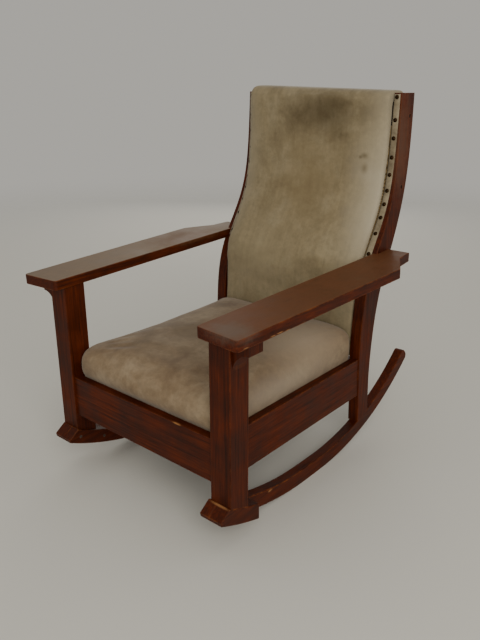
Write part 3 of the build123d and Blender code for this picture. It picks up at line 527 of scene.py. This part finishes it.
seat_leather = loft_piece("seat_leather", [rounded_ring(*ring[1:], ring[0]) for ring in SEAT_RINGS])
stuff(seat_leather, 5 * MM, 3 * MM, seat_held)
for vertex in seat_leather.data.vertices:
    lift = max(0.0, min(1.0, (vertex.co.z / MM - CROWN_LOW) / CROWN_RUN))
    behind = vertex.co.y / MM - front_y
    along = (behind - SLUMP_MID) / SLUMP_RUN
    beside = min(1.0, max(0.0, (abs(vertex.co.x) / MM - SLUMP_FROM) / SLUMP_EASE))
    slump = SLUMP * max(0.0, 1 - along * along) * beside
    vertex.co.z += (rumple(vertex.co, SEAT_FOLDS) - slump) * lift * MM
    if vertex.co.z < SKIRT_TOP * MM:
        if abs(vertex.co.x) > (SKIRT_HALF - SKIRT_EASE) * MM:
            vertex.co.x = math.copysign(SKIRT_HALF * MM, vertex.co.x)
        if behind < SKIRT_FRONT + SKIRT_EASE:
            vertex.co.y = (front_y + SKIRT_FRONT) * MM
        elif behind > SKIRT_REAR - SKIRT_EASE:
            vertex.co.y = (front_y + SKIRT_REAR) * MM
        if vertex.co.z < SKIRT_TURN * MM:
            vertex.co.z = SKIRT_LOW * MM
shape = bmesh.new()
shape.from_mesh(seat_leather.data)
bmesh.ops.remove_doubles(shape, verts=shape.verts, dist=0.6 * MM)
bmesh.ops.dissolve_degenerate(shape, edges=shape.edges, dist=0.2 * MM)
shape.to_mesh(seat_leather.data)
shape.free()
round_off = seat_leather.modifiers.new("round_off", "SUBSURF")
round_off.levels = round_off.render_levels = 1
settle(seat_leather)
smooth_shade(seat_leather, seat_hide, "seat")
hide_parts("seat_cover", "seat_stuffing")
print("seat top", round(max(v.co.z for v in seat_leather.data.vertices), 4))

# %% [markdown]
# The back follows the sawn curve of the rear posts. That curve is an eased step: straight below,
# straight and further back above, with a smooth lean between, which a logistic function draws.
# The pad lies between the posts low down, swells forward of them above the arms, and rolls over the top.
# With age its stuffing has settled, so the roll is a few millimetres lower on the sitter's left.

# %% Back
SWELL_LOW, SWELL_RUN = 390, 170
PAD_HALF, PAD_CORNER, PAD_CROWN = 231.5, 8, 9
PAD_SUNK, PAD_SWELL = 3, 30
PAD_DEEP, PAD_THIN = 18, 17
PAD_HEIGHTS = (263, 320, 380, 430, 480, 530, 580, 630, 690, 760, 840, 900, 940)
PAD_ROLL = ((950, 0), (959, 3), (966, 10), (970, 20), (971.5, 36))
ROLL_START, ROLL_REAR = 947, 795
BACK_FOLDS = ((0.12, 1.4), (0.05, 0.5))
ROLL_TILT, ROLL_LOW, ROLL_EASE, ROLL_HALF = 6, 925, 40, 230
SIDE_FULL, SIDE_FROM, SIDE_RUN = 6, 200, 32
POST_CLEAR, CLEAR_EASE = 4, 8
FULL_TOP, FULL_FADE = 960, 60


def sawn_edge(z, low, rise, middle, ease, kick_z, kick):
    """Edge of a rear post behind the front posts, in mm."""
    return low + rise / (1 + math.exp((middle - z) / ease)) + kick * max(0, kick_z - z)


def post_front(z):
    """Front edge of a rear post."""
    return sawn_edge(z, low=580, rise=149, middle=582, ease=61, kick_z=265, kick=0.085)


def pad_front(z):
    """Front of the pad at its corners, and how far it has swelled."""
    share = min(1.0, max(0.0, (z - SWELL_LOW) / SWELL_RUN))
    swell = share * share * (3 - 2 * share)
    return post_front(z) + PAD_SUNK - PAD_SWELL * swell, swell


def pad_ring(z, half, front, rear, corner, crown, count=8):
    """Level outline of the pad: crowned front, round corners, straight rear."""
    flat = half - corner
    ring = []
    for i in range(25):
        x = -flat + 2 * flat * i / 24
        ring.append((x, front - crown * (1 - (x / flat) ** 2)))
    for i in range(1, count + 1):
        turn = math.radians(90 * i / count)
        ring.append((flat + corner * math.sin(turn), front + corner * (1 - math.cos(turn))))
    for i in range(17):
        ring.append((half - 2 * half * i / 16, rear))
    for i in range(count, 0, -1):
        turn = math.radians(90 * i / count)
        ring.append((-flat - corner * math.sin(turn), front + corner * (1 - math.cos(turn))))
    return [(x * MM, (front_y + y) * MM, z * MM) for x, y in ring]


pad_rings = []
for z in PAD_HEIGHTS:
    front, swell = pad_front(z)
    rear = post_front(z) + PAD_DEEP - PAD_THIN * swell
    corner = min(PAD_CORNER, 0.45 * (rear - front))
    pad_rings.append(pad_ring(z, PAD_HALF, front, rear, corner, PAD_CROWN * (0.3 + 0.7 * swell)))
top_front = pad_front(ROLL_START)[0]
for z, step in PAD_ROLL:
    rear = ROLL_REAR - 0.4 * step
    pad_rings.append(pad_ring(z, PAD_HALF - 0.2 * step, top_front + step, rear, PAD_CORNER, PAD_CROWN))


def back_held(point):
    """The skin is fixed low between the posts, along the roll, and beside the posts."""
    beside = front_y + post_front(point.z / MM) - POST_CLEAR
    return point.z < 400 * MM or point.z > 955 * MM or point.y > beside * MM


back_leather = loft_piece("back_leather", pad_rings)
stuff(back_leather, 5 * MM, 5 * MM, back_held)
for vertex in back_leather.data.vertices:
    vertex.co.y += rumple(vertex.co, BACK_FOLDS) * MM
    settled = min(1.0, max(0.0, (vertex.co.z / MM - ROLL_LOW) / ROLL_EASE))
    vertex.co.z -= ROLL_TILT * settled * vertex.co.x / ROLL_HALF
    ahead = front_y + post_front(vertex.co.z / MM) - POST_CLEAR - vertex.co.y / MM
    below = min(1.0, max(0.0, (FULL_TOP - vertex.co.z / MM) / FULL_FADE))
    fullness = min(1.0, max(0.0, ahead / CLEAR_EASE)) * below
    aside = abs(vertex.co.x) / MM - SIDE_FROM
    if aside > 0:
        vertex.co.x += math.copysign(SIDE_FULL * fullness * aside / SIDE_RUN * MM, vertex.co.x)
round_off = back_leather.modifiers.new("round_off", "SUBSURF")
round_off.levels = round_off.render_levels = 1
settle(back_leather)
smooth_shade(back_leather, back_hide, "chair")
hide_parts("back_cover", "back_stuffing")
print("back top", round(max(v.co.z for v in back_leather.data.vertices), 4))

# %% [markdown]
# A narrow strip of the same hide runs up the front of each rear post, held by a row of domed nails.
# It lies on the post, rises a little between its edges and dips where each nail pulls it down.
# The strip is one band of quads bent to the post's curve, with a closed underside.

# %% Nailed borders
NAIL_HEIGHTS = (949, 892, 846, 797, 752, 711, 676, 642, 602, 552)
BORDER_IN, BORDER_WIDE, NAIL_LINE = 232.5, 17, 241
BORDER_LOW, BORDER_HIGH = 536, 956
BORDER_RISE, BORDER_FULL, BORDER_PULL = 1.0, 1.5, 0.5


def strip_rows(x_places, z_low, z_high, edge_of, side, rise_of, steps):
    """Rows of points up a curved edge; side is -1 towards the front and 1 towards the rear."""
    rows = []
    for i in range(steps + 1):
        z = z_low + (z_high - z_low) * i / steps
        lean = (edge_of(z + 1) - edge_of(z - 1)) / 2
        square = Vector((0, side, -side * lean)).normalized()
        rows.append([Vector((x, front_y + edge_of(z), z)) + square * rise_of(x, z) for x in x_places])
    return rows


def strip_piece(name, under, over):
    """Closed band between two layers of rows."""
    shape = bmesh.new()
    layers = [[[shape.verts.new(p * MM) for p in row] for row in rows] for rows in (under, over)]
    rows, columns = len(under), len(under[0])
    for j in range(rows - 1):
        for i in range(columns - 1):
            low, high = layers
            shape.faces.new((low[j][i], low[j + 1][i], low[j + 1][i + 1], low[j][i + 1]))
            shape.faces.new((high[j][i], high[j][i + 1], high[j + 1][i + 1], high[j + 1][i]))
    rim = [(j, 0) for j in range(rows)] + [(rows - 1, i) for i in range(1, columns)]
    rim += [(j, columns - 1) for j in range(rows - 2, -1, -1)] + [(0, i) for i in range(columns - 2, 0, -1)]
    for (a, b), (c, d) in zip(rim, rim[1:] + rim[:1]):
        shape.faces.new((layers[0][a][b], layers[1][a][b], layers[1][c][d], layers[0][c][d]))
    bmesh.ops.recalc_face_normals(shape, faces=shape.faces)
    mesh = bpy.data.meshes.new(name)
    shape.to_mesh(mesh)
    shape.free()
    piece = bpy.data.objects.new(name, mesh)
    bpy.context.collection.objects.link(piece)
    return piece


def border_rise(x, z):
    """Height of the strip over the post, mm: soft edges, pulled down at the nails."""
    across = (abs(x) - BORDER_IN) / BORDER_WIDE
    edge_ease = 1 - abs(2 * across - 1) ** 3
    pull = max(math.exp(-((z - n) ** 2 + (abs(x) - NAIL_LINE) ** 2) / 60) for n in NAIL_HEIGHTS)
    return BORDER_RISE + BORDER_FULL * edge_ease - BORDER_PULL * pull


for side, sign in (("left", 1), ("right", -1)):
    places = [sign * (BORDER_IN + BORDER_WIDE * i / 8) for i in range(9)]
    under = strip_rows(places, BORDER_LOW, BORDER_HIGH, post_front, -1, lambda x, z: 0.2, 140)
    over = strip_rows(places, BORDER_LOW, BORDER_HIGH, post_front, -1, border_rise, 140)
    strip = strip_piece("nailed_border_" + side, under, over)
    smooth_shade(strip, strip_hide, "chair")
    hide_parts("back_border_" + side)
print("border strips", 2)

# %% [markdown]
# The outside of the back is a flat hide nailed to the rear edges of the posts.
# Between the posts it has nothing behind it but air, so it sinks a little, and each nail puckers it.

# %% Outside panel
def post_rear(z):
    """Rear edge of a rear post."""
    return sawn_edge(z, low=639, rise=163, middle=563, ease=88, kick_z=215, kick=0.07)


PANEL_HALF, PANEL_LOW, PANEL_HIGH, PANEL_THICK = 247, 300, 950, 1.4
PANEL_RISE, PANEL_SINK, PANEL_WAVE, PANEL_PULL = 1.9, 2.5, 0.6, 0.3
OPEN_HALF, OUTSIDE_LINE = 228, 239.5
OUTSIDE_NAILS = [314 + 622 * i / 11 for i in range(12)]


def outside_rise(x, z):
    """Height of the hide over the posts' rear edges, mm."""
    open_share = max(0.0, 1 - (x / OPEN_HALF) ** 2)
    pull = max(math.exp(-((z - n) ** 2 + (abs(x) - OUTSIDE_LINE) ** 2) / 160) for n in OUTSIDE_NAILS)
    wave = noise.noise(Vector((x / 90, z / 120, 3.1)))
    return PANEL_RISE - PANEL_SINK * open_share + PANEL_WAVE * open_share * wave - PANEL_PULL * pull


def inside_rise(x, z):
    """Height of the hide's inner face."""
    return outside_rise(x, z) - PANEL_THICK


panel_places = [-PANEL_HALF + 2 * PANEL_HALF * i / 60 for i in range(61)]
under = strip_rows(panel_places, PANEL_LOW, PANEL_HIGH, post_rear, 1, inside_rise, 110)
over = strip_rows(panel_places, PANEL_LOW, PANEL_HIGH, post_rear, 1, outside_rise, 110)
outside_leather = strip_piece("outside_leather", under, over)
smooth_shade(outside_leather, outside_hide, "chair")
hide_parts("outside_panel")
print("outside panel", len(outside_leather.data.polygons), "faces")

# %% [markdown]
# A black cambric closes the seat from below and keeps dust and fibre in.
# It is tacked round its edge and sags a few millimetres in the middle.

# %% Dust cloth
CLOTH_CLEAR, CLOTH_SAG = 0.4 * MM, 3 * MM
cloth_low, cloth_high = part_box("seat_dust_cloth")
shape = bmesh.new()
bmesh.ops.create_grid(shape, x_segments=40, y_segments=44, size=0.5)
middle = (cloth_low + cloth_high) / 2
for vertex in shape.verts:
    u, v = vertex.co.x * 2, vertex.co.y * 2
    sag = (1 - u * u) * (1 - v * v)
    vertex.co = Vector((middle.x + u * (cloth_high.x - cloth_low.x) / 2,
                        middle.y + v * (cloth_high.y - cloth_low.y) / 2,
                        cloth_high.z - CLOTH_CLEAR - CLOTH_SAG * sag))
mesh = bpy.data.meshes.new("dust_cloth")
shape.to_mesh(mesh)
shape.free()
dust_cloth = bpy.data.objects.new("dust_cloth", mesh)
bpy.context.collection.objects.link(dust_cloth)
smooth_shade(dust_cloth, cambric, "seat")
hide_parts("seat_dust_cloth")
print("dust cloth at", round(middle.z, 4))

# %% [markdown]
# A plain pale floor and soft light, as in a photographer's room.
# A wide light stands at the front right, like a window, another hangs overhead, a weak one stands
# behind, and a pale world fills the rest. The floor fades out some metres away, so no edge shows
# between it and the room.

# %% Floor and light
shape = bmesh.new()
bmesh.ops.create_grid(shape, x_segments=1, y_segments=1, size=40.0)
mesh = bpy.data.meshes.new("studio_floor")
shape.to_mesh(mesh)
shape.free()
floor = bpy.data.objects.new("studio_floor", mesh)
bpy.context.collection.objects.link(floor)
floor_finish, tree, shader = new_finish("pale_floor", {"Roughness": 0.85, "Base Color": linear("#d6d6d1")})
place = add_node(tree, "TexCoord").outputs["Object"]
away = add_node(tree, "VectorMath", links={0: place}, operation="LENGTH")
fade = add_node(tree, "MapRange", {1: 1.6, 2: 6.0, 3: 1.0, 4: 0.0}, {0: away.outputs["Value"]},
                interpolation_type="SMOOTHSTEP")
tree.links.new(fade.outputs[0], shader.inputs["Alpha"])
floor.data.materials.append(floor_finish)

for name, place, aim, size, power in (
        ("window_right", (2.7, -2.3, 2.0), (0, 0, 0.5), 2.6, 82.0),
        ("overhead", (0.3, -0.6, 3.2), (0, 0, 0.4), 3.2, 8.0),
        ("rear_fill", (-2.2, 2.8, 1.6), (0, 0, 0.5), 2.4, 20.0)):
    lamp = bpy.data.lights.new(name, "AREA")
    lamp.size = size
    lamp.energy = power
    lamp.color = linear("#fff7ea")[:3]
    light = bpy.data.objects.new(name, lamp)
    light.location = place
    light.rotation_euler = (Vector(aim) - Vector(place)).to_track_quat("-Z", "Y").to_euler()
    bpy.context.collection.objects.link(light)

world = bpy.data.worlds.new("pale_room")
world.use_nodes = True
world.node_tree.nodes["Background"].inputs["Color"].default_value = linear("#ece8df")
world.node_tree.nodes["Background"].inputs["Strength"].default_value = 0.55
bpy.context.scene.world = world
print("lights", 3)
